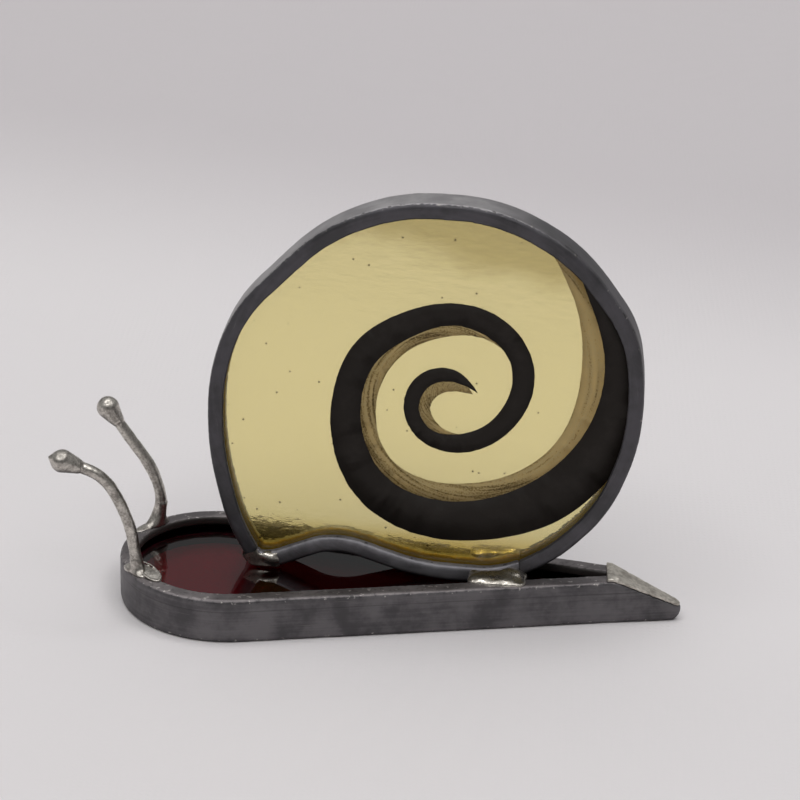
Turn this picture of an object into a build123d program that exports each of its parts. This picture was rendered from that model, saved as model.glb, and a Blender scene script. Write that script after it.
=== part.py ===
from build123d import *
import os
from math import acos, atan2, cos, degrees, hypot, pi, radians, sin, tan

os.makedirs("parts", exist_ok=True)

# Snail figurine of leaded glass: a red glass foot in a lead tray, an amber glass shell
# that stands on it in a lead rim, and two wire antennae. Millimetres, +Z up, the head
# towards -X, the side with the painted spiral towards -Y.

# Lead tray and red glass foot
head_front = 22.0          # from the shell's upright through the origin to the head's front
near_head_radius = 17.4    # the head is a little rounder on the near side
far_head_radius = 15.4
pinch_distance = 58.1      # from the origin to where the two long sides meet
pinch_half_width = 3.2
tail_length = 11.5         # from there to the tail's tip
tail_half_width = 1.2
tail_tip_height = 2.3
tail_toe_radius = 2.0
tray_height = 7.5
tray_web = 1.5             # the back of the U section
tray_leaf = 1.5            # each of its two leaves
tray_leaf_width = 2.8
tray_edge_radius = 0.5
foot_glass_thickness = 4.0
glass_clearance = 0.2      # between a pane's edge and the back of the lead round it

# Shell of amber glass in its lead rim
shell_width = 68.8
shell_height = 64.3
shell_front = 7.9          # how far the shell's widest part reaches in front of the origin
shell_turn = -2.8          # the shell stands a little askew on the tray, in degrees
seat_dent = 0.7            # how far it pushes back the leaf of the tray behind it
seat_clearance = 0.1
shell_rim_depth = 6.0
shell_web = 1.1
shell_leaf_width = 2.5
shell_channel = 3.4
shell_rim_radius = 0.8
shell_glass_thickness = 3.0
heel_joint_reach = 1.0     # where the two strips meet, behind the heel
seat_joint_reach = 2.0     # and behind the seat

# Corners of the shell's outline, as shares of its width and height, from the heel up the
# front, over the top and back along the belly; the arcs between them fill most of each
# side. The round comes down to its seat on the red glass between the last named two.
heel_shares = (0.106, 0.0)
shin_shares = (0.047, 0.115)
rise_shares = (0.834, 0.078)
seat_shares = (0.711, 0.0)
outline_corner_shares = [
    heel_shares, shin_shares, (0.0, 0.313), (0.0, 0.521), (0.055, 0.697),
    (0.25, 0.918), (0.424, 1.0), (0.653, 1.0), (0.845, 0.897), (0.984, 0.7),
    (1.008, 0.545), (1.0, 0.385), (0.943, 0.21), rise_shares, seat_shares, (0.507, 0.0),
    (0.336, 0.057), (0.283, 0.057), (0.161, 0.0),
]
outline_round_share = 0.94
belly_strip_share = 0.25   # the short strip lies below this share of the shell's height

# Painted spiral: the outer and inner edge of the black line from its tip at the eye to
# where both run out under the lead, and the edges of the two brown shades beside it
paint_thickness = 0.12
black_outer_shares = [
    (0.624, 0.509), (0.600, 0.544), (0.563, 0.568), (0.507, 0.561), (0.462, 0.507),
    (0.458, 0.437), (0.493, 0.376), (0.574, 0.345), (0.658, 0.372), (0.727, 0.451),
    (0.753, 0.552), (0.725, 0.652), (0.653, 0.720), (0.568, 0.742), (0.445, 0.709),
    (0.343, 0.628), (0.291, 0.490), (0.292, 0.347), (0.362, 0.194), (0.501, 0.112),
    (0.658, 0.111), (0.828, 0.180), (0.939, 0.306), (1.001, 0.428), (1.060, 0.692),
    (0.929, 0.941),
]
black_inner_shares = [
    (0.624, 0.509), (0.587, 0.530), (0.555, 0.536), (0.516, 0.522), (0.493, 0.484),
    (0.496, 0.435), (0.526, 0.401), (0.580, 0.395), (0.641, 0.421), (0.685, 0.479),
    (0.702, 0.560), (0.685, 0.617), (0.638, 0.662), (0.560, 0.684), (0.469, 0.648),
    (0.390, 0.577), (0.356, 0.467), (0.369, 0.355), (0.423, 0.263), (0.536, 0.213),
    (0.674, 0.232), (0.823, 0.341), (0.891, 0.463), (0.910, 0.608), (0.859, 0.790),
    (0.805, 0.918),
]
brown_hook_shares = [
    (0.612, 0.505), (0.584, 0.510), (0.557, 0.509), (0.532, 0.495), (0.516, 0.462),
    (0.529, 0.428), (0.548, 0.408), (0.590, 0.397),
]
brown_sweep_shares = [
    (0.670, 0.634), (0.616, 0.659), (0.544, 0.653), (0.455, 0.605), (0.401, 0.516),
    (0.391, 0.423), (0.426, 0.320), (0.496, 0.271), (0.612, 0.263), (0.709, 0.295),
    (0.812, 0.395), (0.858, 0.580), (0.834, 0.765), (0.776, 0.888), (0.740, 0.956),
]

# Solder
corner_solder_skin = 0.35
corner_solder_rise = 3.3       # up the long strip from the heel
corner_solder_reach = 4.5      # back along the short one
tail_solder_skin = 0.5
tail_solder_lap = 0.9      # how far it runs onto the tray in front of the pinch
seat_solder_reach = 1.5        # its middle, in front of where the round lifts off
seat_solder_length = 9.0
near_solder_width = 5.4
far_solder_width = 3.6
seat_solder_rise = 1.3     # above the tray
seat_solder_round = 1.0

# Antennae of tinned wire with a bead of solder at the end
wire_diameter = 1.8
front_antenna_bearing = 33.0   # degrees round the head from its front
back_antenna_bearing = 40.0
front_antenna_reach = 11.9
front_antenna_rise = 19.5
back_antenna_reach = 8.1
back_antenna_rise = 20.3
antenna_spread = 6.0           # degrees that each one turns outwards
front_antenna_shares = [(0.0, 0.0), (0.126, 0.5), (0.46, 0.88), (1.0, 1.0)]
back_antenna_shares = [(0.0, 0.0), (-0.12, 0.25), (0.09, 0.5), (1.0, 1.0)]
bend_share = 0.45
bead_radius = 1.8
bead_neck = 3.1
bead_collar = 0.12
front_bead_point = 0.5         # the front bead is drawn out to a point
back_bead_point = 0.0
front_foot_height = 2.4
back_foot_height = 4.2
foot_solder_length = 5.4
foot_solder_width = 2.6
foot_waist_shares = (0.5, 0.9, 0.33)   # of its length, width and height

# Worked out from the sizes above
overrun = tray_height
tail_distance = pinch_distance + tail_length
head_middle = (near_head_radius - far_head_radius) / 2
near_head_centre = near_head_radius - head_front
far_head_centre = far_head_radius - head_front
foot_glass_top = tray_leaf + foot_glass_thickness
wire_radius = wire_diameter / 2


def tangent_point(centre, radius, outside, side):
    """Where a line from a point outside a circle touches it; side is 1 or -1."""
    dx, dy = outside[0] - centre[0], outside[1] - centre[1]
    angle = atan2(dy, dx) + side * acos(radius / hypot(dx, dy))
    return centre[0] + radius * cos(angle), centre[1] + radius * sin(angle)


def head_arc(centre_x, radius, touch, side):
    """One half of the head, from its front round to where the long side leaves it."""
    front = (centre_x - radius, head_middle)
    turn = (atan2(touch[1] - head_middle, touch[0] - centre_x) + side * pi) / 2
    middle = (centre_x + radius * cos(turn), head_middle + radius * sin(turn))
    return ThreePointArc(front, middle, touch)


def tray_plan():
    """Outline of the tray from above: a rounded head drawn out to a thin tail."""
    near_pinch = (pinch_distance, -pinch_half_width)
    far_pinch = (pinch_distance, pinch_half_width)
    near_touch = tangent_point((near_head_centre, head_middle), near_head_radius, near_pinch, -1)
    far_touch = tangent_point((far_head_centre, head_middle), far_head_radius, far_pinch, 1)
    near_tip = (tail_distance - tail_half_width, -tail_half_width)
    far_tip = (tail_distance - tail_half_width, tail_half_width)
    edges = [
        head_arc(near_head_centre, near_head_radius, near_touch, -1),
        Polyline(near_touch, near_pinch, near_tip),
        ThreePointArc(near_tip, (tail_distance, 0), far_tip),
        Polyline(far_tip, far_pinch, far_touch),
        head_arc(far_head_centre, far_head_radius, far_touch, 1),
    ]
    return make_face(Curve() + edges)


def tail_side(lift):
    """Side view of the whole tray with its slanted tail, raised by a solder skin."""
    start = -head_front - overrun
    toe = tail_distance - tail_toe_radius
    sides = Polyline(
        (tail_distance, tail_toe_radius), (tail_distance, tail_tip_height + lift),
        (pinch_distance, tray_height + lift), (start, tray_height + lift), (start, 0), (toe, 0))
    bow = (toe + tail_toe_radius * sin(pi / 4), tail_toe_radius * (1 - cos(pi / 4)))
    face = make_face(Curve() + [sides, ThreePointArc(sides @ 1, bow, sides @ 0)])
    return extrude(Plane.XZ * face, amount=near_head_radius + overrun, both=True)


def open_part(plan, low, high):
    """The part of a plan that stays open, which ends where the sides are pinched."""
    reach = pinch_distance + head_front + overrun
    width = 2 * (near_head_radius + overrun)
    keep = Pos(pinch_distance - reach / 2, 0, 0) * Box(reach, width, 4 * tray_height)
    return extrude(Pos(0, 0, low) * plan, amount=high - low) & keep


def make_tray(shell_block):
    """One U strip of lead bent round the red glass, its ends pressed together as the tail,
    and one leaf dressed back where the shell stands against it."""
    plan = tray_plan()
    block = extrude(plan, amount=tray_height)
    rims = block.faces().sort_by(Axis.Z)
    block = fillet(rims[0].edges() + rims[-1].edges(), tray_edge_radius)
    opening = open_part(offset(plan, -tray_leaf_width), -overrun, tray_height + overrun)
    channel = open_part(offset(plan, -tray_web), tray_leaf, tray_height - tray_leaf)
    return (block & tail_side(0)) - opening - channel - shell_block


def make_foot_glass():
    """Red glass pane that lies on the lower leaf of the tray."""
    plan = offset(tray_plan(), -(tray_web + glass_clearance))
    pane = open_part(plan, tray_leaf, foot_glass_top)
    back = pinch_distance - glass_clearance
    return pane - Pos(back + overrun, 0, 0) * Box(2 * overrun, 2 * overrun, 4 * overrun)


def make_tail_solder(tray):
    """Solder that closes the slanted cut and laps onto the tray in front of it."""
    plan = offset(tray_plan(), -glass_clearance)
    skin = Pos(0, 0, tail_toe_radius) * extrude(plan, amount=tray_height)
    skin = skin & tail_side(tail_solder_skin)
    length = tail_distance - pinch_distance + tail_solder_lap
    middle = pinch_distance - tail_solder_lap + length / 2
    zone = Pos(middle, 0, tray_height / 2) * Box(length, 4 * pinch_half_width, 2 * tray_height)
    under = Pos(pinch_distance - length, 0, foot_glass_top - tray_height)
    under = under * Box(2 * length, 4 * pinch_half_width, 2 * tray_height)
    return (skin & zone) - under - tray


def shell_offset():
    """How far the shell stands behind the middle of the tray: its round ends against the
    tray's far leaf where it comes out above the rim."""
    low, high = shell_point(seat_shares), shell_point(rise_shares)
    share = (tray_height - foot_glass_top) / (high[1] - low[1])
    back = low[0] + share * (high[0] - low[0])
    far_pinch = (pinch_distance, pinch_half_width)
    touch = tangent_point((far_head_centre, head_middle), far_head_radius, far_pinch, 1)
    slope = (touch[1] - far_pinch[1]) / (far_pinch[0] - touch[0])
    leaf = far_pinch[1] + slope * (pinch_distance - back) - tray_leaf_width * hypot(1, slope)
    return leaf + seat_dent - shell_rim_depth / 2 - back * tan(radians(shell_turn))


def shell_place(shape):
    """Puts what was made upright in the shell's own plane on the red glass."""
    return Pos(0, shell_offset(), foot_glass_top) * Rot(0, 0, shell_turn) * shape


def shell_point(shares):
    return shares[0] * shell_width - shell_front, shares[1] * shell_height


def corner_radii(points, share):
    """Radius of the arc at each corner that fills that share of the shorter side beside it."""
    radii = []
    for i, here in enumerate(points):
        before, after = points[i - 1], points[(i + 1) % len(points)]
        first = Vector(*here) - Vector(*before)
        second = Vector(*after) - Vector(*here)
        turn = radians(first.get_angle(second))
        radii.append(share * min(first.length, second.length) / 2 / tan(turn / 2))
    return radii


def shell_outline(outwards=0):
    """The shell seen from its side, its edge moved outwards or, where negative, inwards.
    The moved runs are carried on until they meet, so that none of them is cut short."""
    corners = [shell_point(shares) for shares in outline_corner_shares]
    radii = corner_radii(corners, outline_round_share)
    face = make_face(FilletPolyline(*corners, radius=radii, close=True))
    return offset(face, outwards, kind=Kind.INTERSECTION) if outwards else face


def upright(face, thickness, front=0):
    """A face drawn in the shell's plane made solid, front being how far it lies before it."""
    return Pos(0, -front, 0) * extrude(Plane.XZ * face, amount=thickness / 2, both=True)


def rim_hollow():
    """What the shell's U section leaves open: the window and the channel for the glass."""
    window = upright(shell_outline(-shell_leaf_width), shell_rim_depth + overrun)
    return window + upright(shell_outline(-shell_web), shell_channel)


def make_shell_rim():
    """The whole lead rim round the amber glass, before it is parted into its two strips."""
    block = upright(shell_outline(), shell_rim_depth)
    sides = block.faces().sort_by(Axis.Y)
    block = fillet(sides[0].edges() + sides[-1].edges(), shell_rim_radius)
    return block - rim_hollow()


def belly_zone():
    """Space that the short strip under the belly takes out of the whole rim."""
    front = shell_point(heel_shares)[0] + heel_joint_reach
    length = shell_point(seat_shares)[0] + seat_joint_reach - front
    middle = front + length / 2
    height = belly_strip_share * shell_height + overrun
    return Pos(middle, 0, height / 2 - overrun) * Box(length, 2 * shell_rim_depth, height)


def make_shell_glass():
    return upright(shell_outline(-(shell_web + glass_clearance)), shell_glass_thickness)


def spline_through(shares):
    return Spline(*[shell_point(pair) for pair in shares])


def black_face():
    outer = spline_through(black_outer_shares)
    inner = spline_through(black_inner_shares)
    close = Line(outer @ 1, inner @ 1)
    return make_face(Curve() + [outer, close, inner])


def black_middle():
    """Points half way between the two edges of the black line."""
    pairs = zip(black_outer_shares, black_inner_shares)
    return [((a[0] + b[0]) / 2, (a[1] + b[1]) / 2) for a, b in pairs]


def brown_face(edge_shares, middle):
    """A shade between its own edge and a stretch of the middle of the black line beside it."""
    edge, back = spline_through(edge_shares), spline_through(middle)
    ends = [Line(edge @ 0, back @ 0), Line(edge @ 1, back @ 1)]
    return make_face(Curve() + [edge, back] + ends)


def make_paints():
    """The fired coats on the near side of the amber glass, as thin solids."""
    pane = shell_outline(-(shell_web + glass_clearance))
    front = (shell_glass_thickness + paint_thickness) / 2
    black = black_face() & pane
    middle = black_middle()
    shades = [brown_face(brown_hook_shares, middle[1:len(brown_hook_shares)]) & pane,
              brown_face(brown_sweep_shares, middle[-len(brown_sweep_shares):]) & pane]
    black_coat = upright(black, paint_thickness, front)
    brown_coat = Part() + [upright(shade - black, paint_thickness, front) for shade in shades]
    return black_coat, brown_coat


def make_corner_solder(rim):
    """Thin sleeve of solder over the joint of the two strips at the shell's front corner."""
    outline = shell_outline(corner_solder_skin)
    sleeve = upright(outline, shell_rim_depth + 2 * corner_solder_skin)
    heel, shin = shell_point(heel_shares), shell_point(shin_shares)
    size = shell_width + shell_height
    block = Box(size, 2 * shell_rim_depth, size)
    lean = degrees(atan2(shin[0] - heel[0], shin[1] - heel[1]))
    low = Rot(0, lean, 0) * Pos(0, 0, corner_solder_rise - size / 2) * block
    front = Pos(corner_solder_reach - size / 2, 0, 0) * block
    zone = Pos(heel[0], 0, heel[1]) * (low & front)
    return (sleeve & zone) - rim_hollow() - rim


def make_seat_solder(side, width, others):
    """Bead that joins the shell's rim to the tray's rim on one side of the shell."""
    height = tray_height - foot_glass_top + seat_solder_rise
    bead = fillet(Box(seat_solder_length, width, height).edges(), seat_solder_round)
    face = side * (shell_rim_depth / 2 - shell_web)
    along = shell_point(seat_shares)[0] - seat_solder_reach
    middle = shell_offset() + along * tan(radians(shell_turn)) + face
    place = Pos(along, middle + side * width / 2, foot_glass_top + height / 2)
    bead = place * Rot(0, 0, shell_turn) * bead
    for other in others:
        bead = bead - other
    return max(bead.solids(), key=lambda solid: solid.volume)


def antenna_foot(side, bearing):
    """Point on the middle of the tray's rim, and the direction of the rim there."""
    radius = near_head_radius if side < 0 else far_head_radius
    centre = near_head_centre if side < 0 else far_head_centre
    angle = radians(bearing)
    rim = radius - tray_leaf_width / 2
    x = centre - rim * cos(angle)
    y = head_middle + side * rim * sin(angle)
    return x, y, side * (90 - bearing)


def antenna_place(side, bearing, shape):
    """Puts what was made in an upright plane through its foot on the tray's rim."""
    x, y, _ = antenna_foot(side, bearing)
    return Pos(x, y, tray_height) * Rot(0, 0, -side * antenna_spread) * shape


def antenna_points(shares, reach, rise):
    return [(-across * reach, up * rise) for across, up in shares]


def make_wire(points):
    """Round wire along straight runs joined by wide arcs, its end inside the bead."""
    radii = corner_radii(points, 2 * bend_share)[1:-1]
    path = FilletPolyline(*points, radius=radii)
    path = Plane.XZ * path
    section = Plane(origin=path @ 0, z_dir=path % 0) * Circle(wire_radius)
    under = Pos(0, 0, -wire_diameter) * Box(4 * wire_diameter, 4 * wire_diameter, 2 * wire_diameter)
    return sweep(section, path=path) - under


def make_bead(points, point_length):
    """Drop of solder on the wire's end: a ball with a neck, and a point where it has one."""
    neck_radius = wire_radius + bead_collar
    reach = hypot(bead_neck, neck_radius)
    neck_angle = atan2(neck_radius, bead_neck) + acos(bead_radius / reach)
    neck_touch = (bead_radius * cos(neck_angle), bead_radius * sin(neck_angle))
    tip = bead_radius + point_length
    tip_angle = pi - acos(bead_radius / tip)
    tip_touch = (bead_radius * cos(tip_angle), bead_radius * sin(tip_angle))
    middle_angle = (neck_angle + tip_angle) / 2
    middle = (bead_radius * cos(middle_angle), bead_radius * sin(middle_angle))
    corners = [neck_touch, (bead_neck, neck_radius), (bead_neck, wire_radius),
               (0, wire_radius), (0, 0), (-tip, 0)]
    if point_length > 0:
        corners.append(tip_touch)
    side = Polyline(*corners)
    profile = make_face(Curve() + [side, ThreePointArc(neck_touch, middle, side @ 1)])
    drop = revolve(profile, axis=Axis.X)
    end, before = Vector(*points[-1]), Vector(*points[-2])
    lean = degrees(atan2(before.Y - end.Y, before.X - end.X))
    return Pos(end.X, 0, end.Y) * Rot(0, -lean, 0) * drop


def make_antenna_foot(side, bearing, height, points):
    """Solder drawn up the leaning wire from a patch along the tray's rim."""
    _, _, direction = antenna_foot(side, bearing)
    along_rim = Rot(0, 0, direction + side * antenna_spread)
    lean = points[1][0] / points[1][1]
    along, across, up = foot_waist_shares
    patch = along_rim * Ellipse(foot_solder_length / 2, foot_solder_width / 2)
    waist = Ellipse(along * foot_solder_length / 2, across * foot_solder_width / 2)
    waist = Pos(up * height * lean, 0, up * height) * along_rim * waist
    top = Pos(height * lean, 0, height) * Circle(wire_radius + bead_collar)
    return antenna_place(side, bearing, loft([patch, waist, top]))


def make_antennae():
    """Both antennae: the wire, its bead and the solder at its foot."""
    made = {}
    sets = [
        ("front", -1, front_antenna_bearing, front_antenna_shares, front_antenna_reach,
         front_antenna_rise, front_bead_point, front_foot_height),
        ("back", 1, back_antenna_bearing, back_antenna_shares, back_antenna_reach,
         back_antenna_rise, back_bead_point, back_foot_height),
    ]
    for name, side, bearing, shares, reach, rise, point, height in sets:
        points = antenna_points(shares, reach, rise)
        wire = antenna_place(side, bearing, make_wire(points))
        made[name + "_antenna_wire"] = wire
        made[name + "_antenna_bead"] = antenna_place(side, bearing, make_bead(points, point))
        made[name + "_antenna_solder"] = make_antenna_foot(side, bearing, height, points) - wire
    return made


def make_nodes():
    room = shell_outline(seat_clearance)
    tray = make_tray(shell_place(upright(room, shell_rim_depth + 2 * seat_clearance)))
    foot_glass = make_foot_glass()
    rim = make_shell_rim()
    belly = belly_zone()
    shell_glass = make_shell_glass()
    black_coat, brown_coat = make_paints()
    placed_rim = shell_place(rim)
    neighbours = [placed_rim, tray, foot_glass]
    nodes = {
        "foot_glass": foot_glass,
        "tray_came": tray,
        "tail_solder": make_tail_solder(tray),
        "shell_glass": shell_place(shell_glass),
        "spiral_black_paint": shell_place(black_coat),
        "spiral_brown_paint": shell_place(brown_coat),
        "shell_came": shell_place(rim - belly),
        "belly_came": shell_place(rim & belly),
        "corner_solder": shell_place(make_corner_solder(rim)) - foot_glass,
        "near_seat_solder": make_seat_solder(-1, near_solder_width, neighbours),
        "far_seat_solder": make_seat_solder(1, far_solder_width, neighbours),
    }
    nodes.update(make_antennae())
    return nodes


def centred(nodes):
    """Moves all nodes so that the origin is under the middle of the whole figurine."""
    box = Compound(children=[Compound(node.solids()) for node in nodes.values()]).bounding_box()
    middle = box.center()
    shift = Pos(-middle.X, -middle.Y, -box.min.Z)
    return {name: shift * Compound(node.solids()) for name, node in nodes.items()}


for name, node in centred(make_nodes()).items():
    solids = node.solids()
    shape = solids[0] if len(solids) == 1 else Compound(solids)
    shape.label = name
    export_step(shape, os.path.join("parts", name + ".step"))
    print(name, len(solids), "solids", round(node.volume, 2), "mm3")
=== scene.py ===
import math
import bpy
from mathutils import Matrix, Vector


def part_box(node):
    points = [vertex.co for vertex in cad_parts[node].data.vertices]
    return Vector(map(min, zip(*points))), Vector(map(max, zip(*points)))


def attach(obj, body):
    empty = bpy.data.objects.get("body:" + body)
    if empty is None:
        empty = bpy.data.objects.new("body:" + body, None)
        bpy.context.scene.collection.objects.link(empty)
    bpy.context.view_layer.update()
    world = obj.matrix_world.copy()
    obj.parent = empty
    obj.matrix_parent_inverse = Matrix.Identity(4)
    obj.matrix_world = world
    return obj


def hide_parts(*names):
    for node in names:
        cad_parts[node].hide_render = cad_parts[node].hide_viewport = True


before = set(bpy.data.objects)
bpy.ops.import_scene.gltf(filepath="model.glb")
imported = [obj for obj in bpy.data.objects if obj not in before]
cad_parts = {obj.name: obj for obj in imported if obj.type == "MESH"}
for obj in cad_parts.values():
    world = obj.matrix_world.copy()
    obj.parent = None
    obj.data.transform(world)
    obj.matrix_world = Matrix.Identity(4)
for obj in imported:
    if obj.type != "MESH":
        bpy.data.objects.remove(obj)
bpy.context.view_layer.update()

# A snail of leaded glass: ruby glass foot in a lead tray, amber glass shell in a lead rim,
# two tinned wire antennae. The CAD nodes give every place and size, in metres here.
mm = 0.001
trayLow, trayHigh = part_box("tray_came")
shellLow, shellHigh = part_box("shell_glass")
shellMiddle = (shellLow + shellHigh) / 2
shellTurn = math.radians(-2.8)        # the shell stands a little askew on the tray


# Camera: a long lens, a little above the snail, held slightly askew
cameraPlace = {
    "fromTrayFront": 44.68,      # mm from the tray's front end to the point looked at
    "height": 36.36,             # mm above the floor
    "distance": 440,             # mm
    "azimuth": 1.807,            # degrees
    "elevation": 23.585,
    "roll": 2.051,
    "lens": 125.04,              # mm on a 36 mm wide sensor
}


def buildCamera(place):
    azimuth, elevation, roll = [math.radians(place[key]) for key in ("azimuth", "elevation", "roll")]
    turn = Matrix.Rotation(azimuth, 4, "Z") @ Matrix.Rotation(math.pi / 2 - elevation, 4, "X")
    turn = turn @ Matrix.Rotation(roll, 4, "Z")
    target = Vector((trayLow.x + place["fromTrayFront"] * mm, 0, place["height"] * mm))
    camera = bpy.data.objects.new("camera", bpy.data.cameras.new("camera"))
    bpy.context.scene.collection.objects.link(camera)
    camera.data.lens = place["lens"]
    camera.data.sensor_width = 36
    camera.data.clip_start = 0.01
    back = turn.to_3x3() @ Vector((0, 0, 1))
    camera.matrix_world = Matrix.Translation(target + back * place["distance"] * mm) @ turn
    bpy.context.scene.camera = camera


# Node and colour helpers
def linear(hexColour):
    # sRGB hex to the linear colour that a shader takes
    parts = [int(hexColour[i:i + 2], 16) / 255 for i in (1, 3, 5)]
    parts = [c / 12.92 if c <= 0.04045 else ((c + 0.055) / 1.055) ** 2.4 for c in parts]
    return (*parts, 1)


smoothStep = {"interpolation_type": "SMOOTHSTEP"}
ofColours = {"data_type": "RGBA"}


def addNode(tree, kind, settings={}, inputs={}):
    # A node with its settings; an input is a value, another node, or one output of it
    node = tree.nodes.new("ShaderNode" + kind)
    for name, value in settings.items():
        setattr(node, name, value)
    for socket, value in inputs.items():
        if isinstance(value, bpy.types.Node):
            value = next(output for output in value.outputs if output.enabled)
        if isinstance(value, bpy.types.NodeSocket):
            tree.links.new(value, node.inputs[socket])
        else:
            node.inputs[socket].default_value = value
    return node


def startMaterial(name):
    material = bpy.data.materials.new(name)
    material.use_nodes = True
    material.node_tree.nodes.clear()
    return material, material.node_tree


def objectPlace(tree, middle=(0, 0, 0), turn=0):
    # Object coordinates in millimetres about a piece's own middle, turned back to its own axes
    coordinates = addNode(tree, "TexCoord")
    moved = addNode(tree, "VectorMath", {"operation": "SUBTRACT"},
                    {0: coordinates.outputs["Object"], 1: tuple(middle)})
    return addNode(tree, "Mapping", {}, {"Vector": moved, "Rotation": (0, 0, -turn), "Scale": (1 / mm,) * 3})


# Floor of white woven cotton: matt, with a faint weave, pale grey where the light falls off.
# Over it the soft light of a tent, with a ring lamp near its top
floorLook = {
    "size": 3.0, "near": "#DEDADB", "far": "#C7C2C4",
    "fallFrom": 100, "fallTo": 240,              # mm behind the snail, where the cloth falls off in light
    "fallAskew": 0.27,                           # it falls off sooner on the right
    "thread": 1.1, "threadDepth": 0.05,          # mm; coarser than the real thread so that it shows
    "patch": 30, "worn": 0.3,                    # mm; in patches the weave is nearly flat
}
tentLook = {
    "low": 0.52, "wall": 0.325, "wallAt": 0.4,    # brightness at the horizon and a little above it
    "top": 0.53, "topAt": 0.95,                  # added above the wall
    "opening": 0.5, "openFrom": -0.1, "openTo": -0.9,      # share of light that the open front takes away
    "lean": 0.1,                                 # the left side is brighter
    "ringHeight": 76, "ringFrom": 22, "ringTo": 32,        # degrees
    "ringPower": 4.5, "ringEdge": 0.008,
}


def buildFloor(look):
    bpy.ops.object.select_all(action="DESELECT")
    bpy.ops.mesh.primitive_plane_add(size=look["size"], location=(0, 0, 0))
    floor = bpy.context.object
    floor.name = "floor"
    bpy.ops.object.mode_set(mode="EDIT")
    bpy.ops.mesh.subdivide(number_cuts=20)
    bpy.ops.object.mode_set(mode="OBJECT")
    material, tree = startMaterial("whiteClothFloor")
    place = objectPlace(tree)
    behind = addNode(tree, "VectorMath", {"operation": "DOT_PRODUCT"}, {0: place, 1: (look["fallAskew"], 1, 0)})
    away = addNode(tree, "MapRange", smoothStep,
                   {0: behind, 1: look["fallFrom"], 2: look["fallTo"]})
    colour = addNode(tree, "Mix", ofColours, {0: away, 6: linear(look["near"]), 7: linear(look["far"])})
    # The bands of a wave texture lie 0.314 / scale apart
    threads = [addNode(tree, "TexWave", {"bands_direction": direction},
                       {"Vector": place, "Scale": 0.314 / look["thread"], "Distortion": 1.6, "Detail": 1.0,
                        "Detail Scale": 0.6}) for direction in ("X", "Y")]
    weave = addNode(tree, "Math", {"operation": "MULTIPLY"}, {0: threads[0].outputs[1], 1: threads[1].outputs[1]})
    patches = addNode(tree, "TexNoise", {}, {"Vector": place, "Scale": 1 / look["patch"], "Detail": 2})
    worn = addNode(tree, "MapRange", {}, {0: patches, 1: 0.35, 2: 0.65, 3: look["worn"], 4: 1})
    weave = addNode(tree, "Math", {"operation": "MULTIPLY"}, {0: weave, 1: worn})
    bump = addNode(tree, "Bump", {}, {"Strength": 1.0, "Distance": look["threadDepth"] * mm, "Height": weave})
    shader = addNode(tree, "BsdfPrincipled", {}, {"Base Color": colour, "Roughness": 0.9,
                                                  "Specular IOR Level": 0.2, "Normal": bump})
    addNode(tree, "OutputMaterial", {}, {"Surface": shader})
    floor.data.materials.append(material)


def buildTent(look):
    world = bpy.data.worlds.new("tent")
    bpy.context.scene.world = world
    world.use_nodes = True
    tree = world.node_tree
    tree.nodes.clear()
    direction = addNode(tree, "TexCoord").outputs["Generated"]
    axes = addNode(tree, "SeparateXYZ", {}, {0: direction})
    wall = addNode(tree, "MapRange", smoothStep,
                   {0: axes.outputs[2], 1: 0, 2: look["wallAt"], 3: look["low"], 4: look["wall"]})
    top = addNode(tree, "MapRange", smoothStep,
                  {0: axes.outputs[2], 1: look["wallAt"], 2: look["topAt"], 3: 0, 4: look["top"]})
    light = addNode(tree, "Math", {"operation": "ADD"}, {0: wall, 1: top})
    front = addNode(tree, "MapRange", smoothStep,
                    {0: axes.outputs[1], 1: look["openFrom"], 2: look["openTo"], 3: 1, 4: 1 - look["opening"]})
    light = addNode(tree, "Math", {"operation": "MULTIPLY"}, {0: light, 1: front})
    lean = addNode(tree, "MapRange", {},
                   {0: axes.outputs[0], 1: -1, 2: 1, 3: 1 + look["lean"], 4: 1 - look["lean"]})
    light = addNode(tree, "Math", {"operation": "MULTIPLY"}, {0: light, 1: lean})
    rise = math.radians(look["ringHeight"])
    fromRing = addNode(tree, "VectorMath", {"operation": "DOT_PRODUCT"},
                       {0: direction, 1: (0, -math.cos(rise), math.sin(rise))})
    edges = []
    for angle in (look["ringTo"], look["ringFrom"]):
        edge = math.cos(math.radians(angle))
        edges.append(addNode(tree, "MapRange", smoothStep,
                             {0: fromRing, 1: edge - look["ringEdge"], 2: edge + look["ringEdge"]}))
    ring = addNode(tree, "Math", {"operation": "SUBTRACT"}, {0: edges[0], 1: edges[1]})
    ring = addNode(tree, "Math", {"operation": "MULTIPLY"}, {0: ring, 1: look["ringPower"]})
    light = addNode(tree, "Math", {"operation": "ADD"}, {0: light, 1: ring})
    shader = addNode(tree, "Background", {}, {"Strength": light})
    addNode(tree, "OutputWorld", {}, {"Surface": shader})


# Shaping helpers
def copyNode(node, name):
    # A copy of a CAD node's mesh, its loose triangles merged
    piece = bpy.data.objects.new(name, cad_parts[node].data.copy())
    piece.data.name = name
    piece.data.materials.clear()
    bpy.context.scene.collection.objects.link(piece)
    takeUp(piece)
    bpy.ops.object.mode_set(mode="EDIT")
    bpy.ops.mesh.select_all(action="SELECT")
    bpy.ops.mesh.remove_doubles(threshold=0.001 * mm)
    bpy.ops.object.mode_set(mode="OBJECT")
    return piece


def takeUp(*pieces):
    # Selects these alone, the first one active
    bpy.ops.object.select_all(action="DESELECT")
    for piece in pieces:
        piece.select_set(True)
    bpy.context.view_layer.objects.active = pieces[0]


def joinTo(piece, other):
    takeUp(piece, other)
    bpy.ops.object.join()


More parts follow.
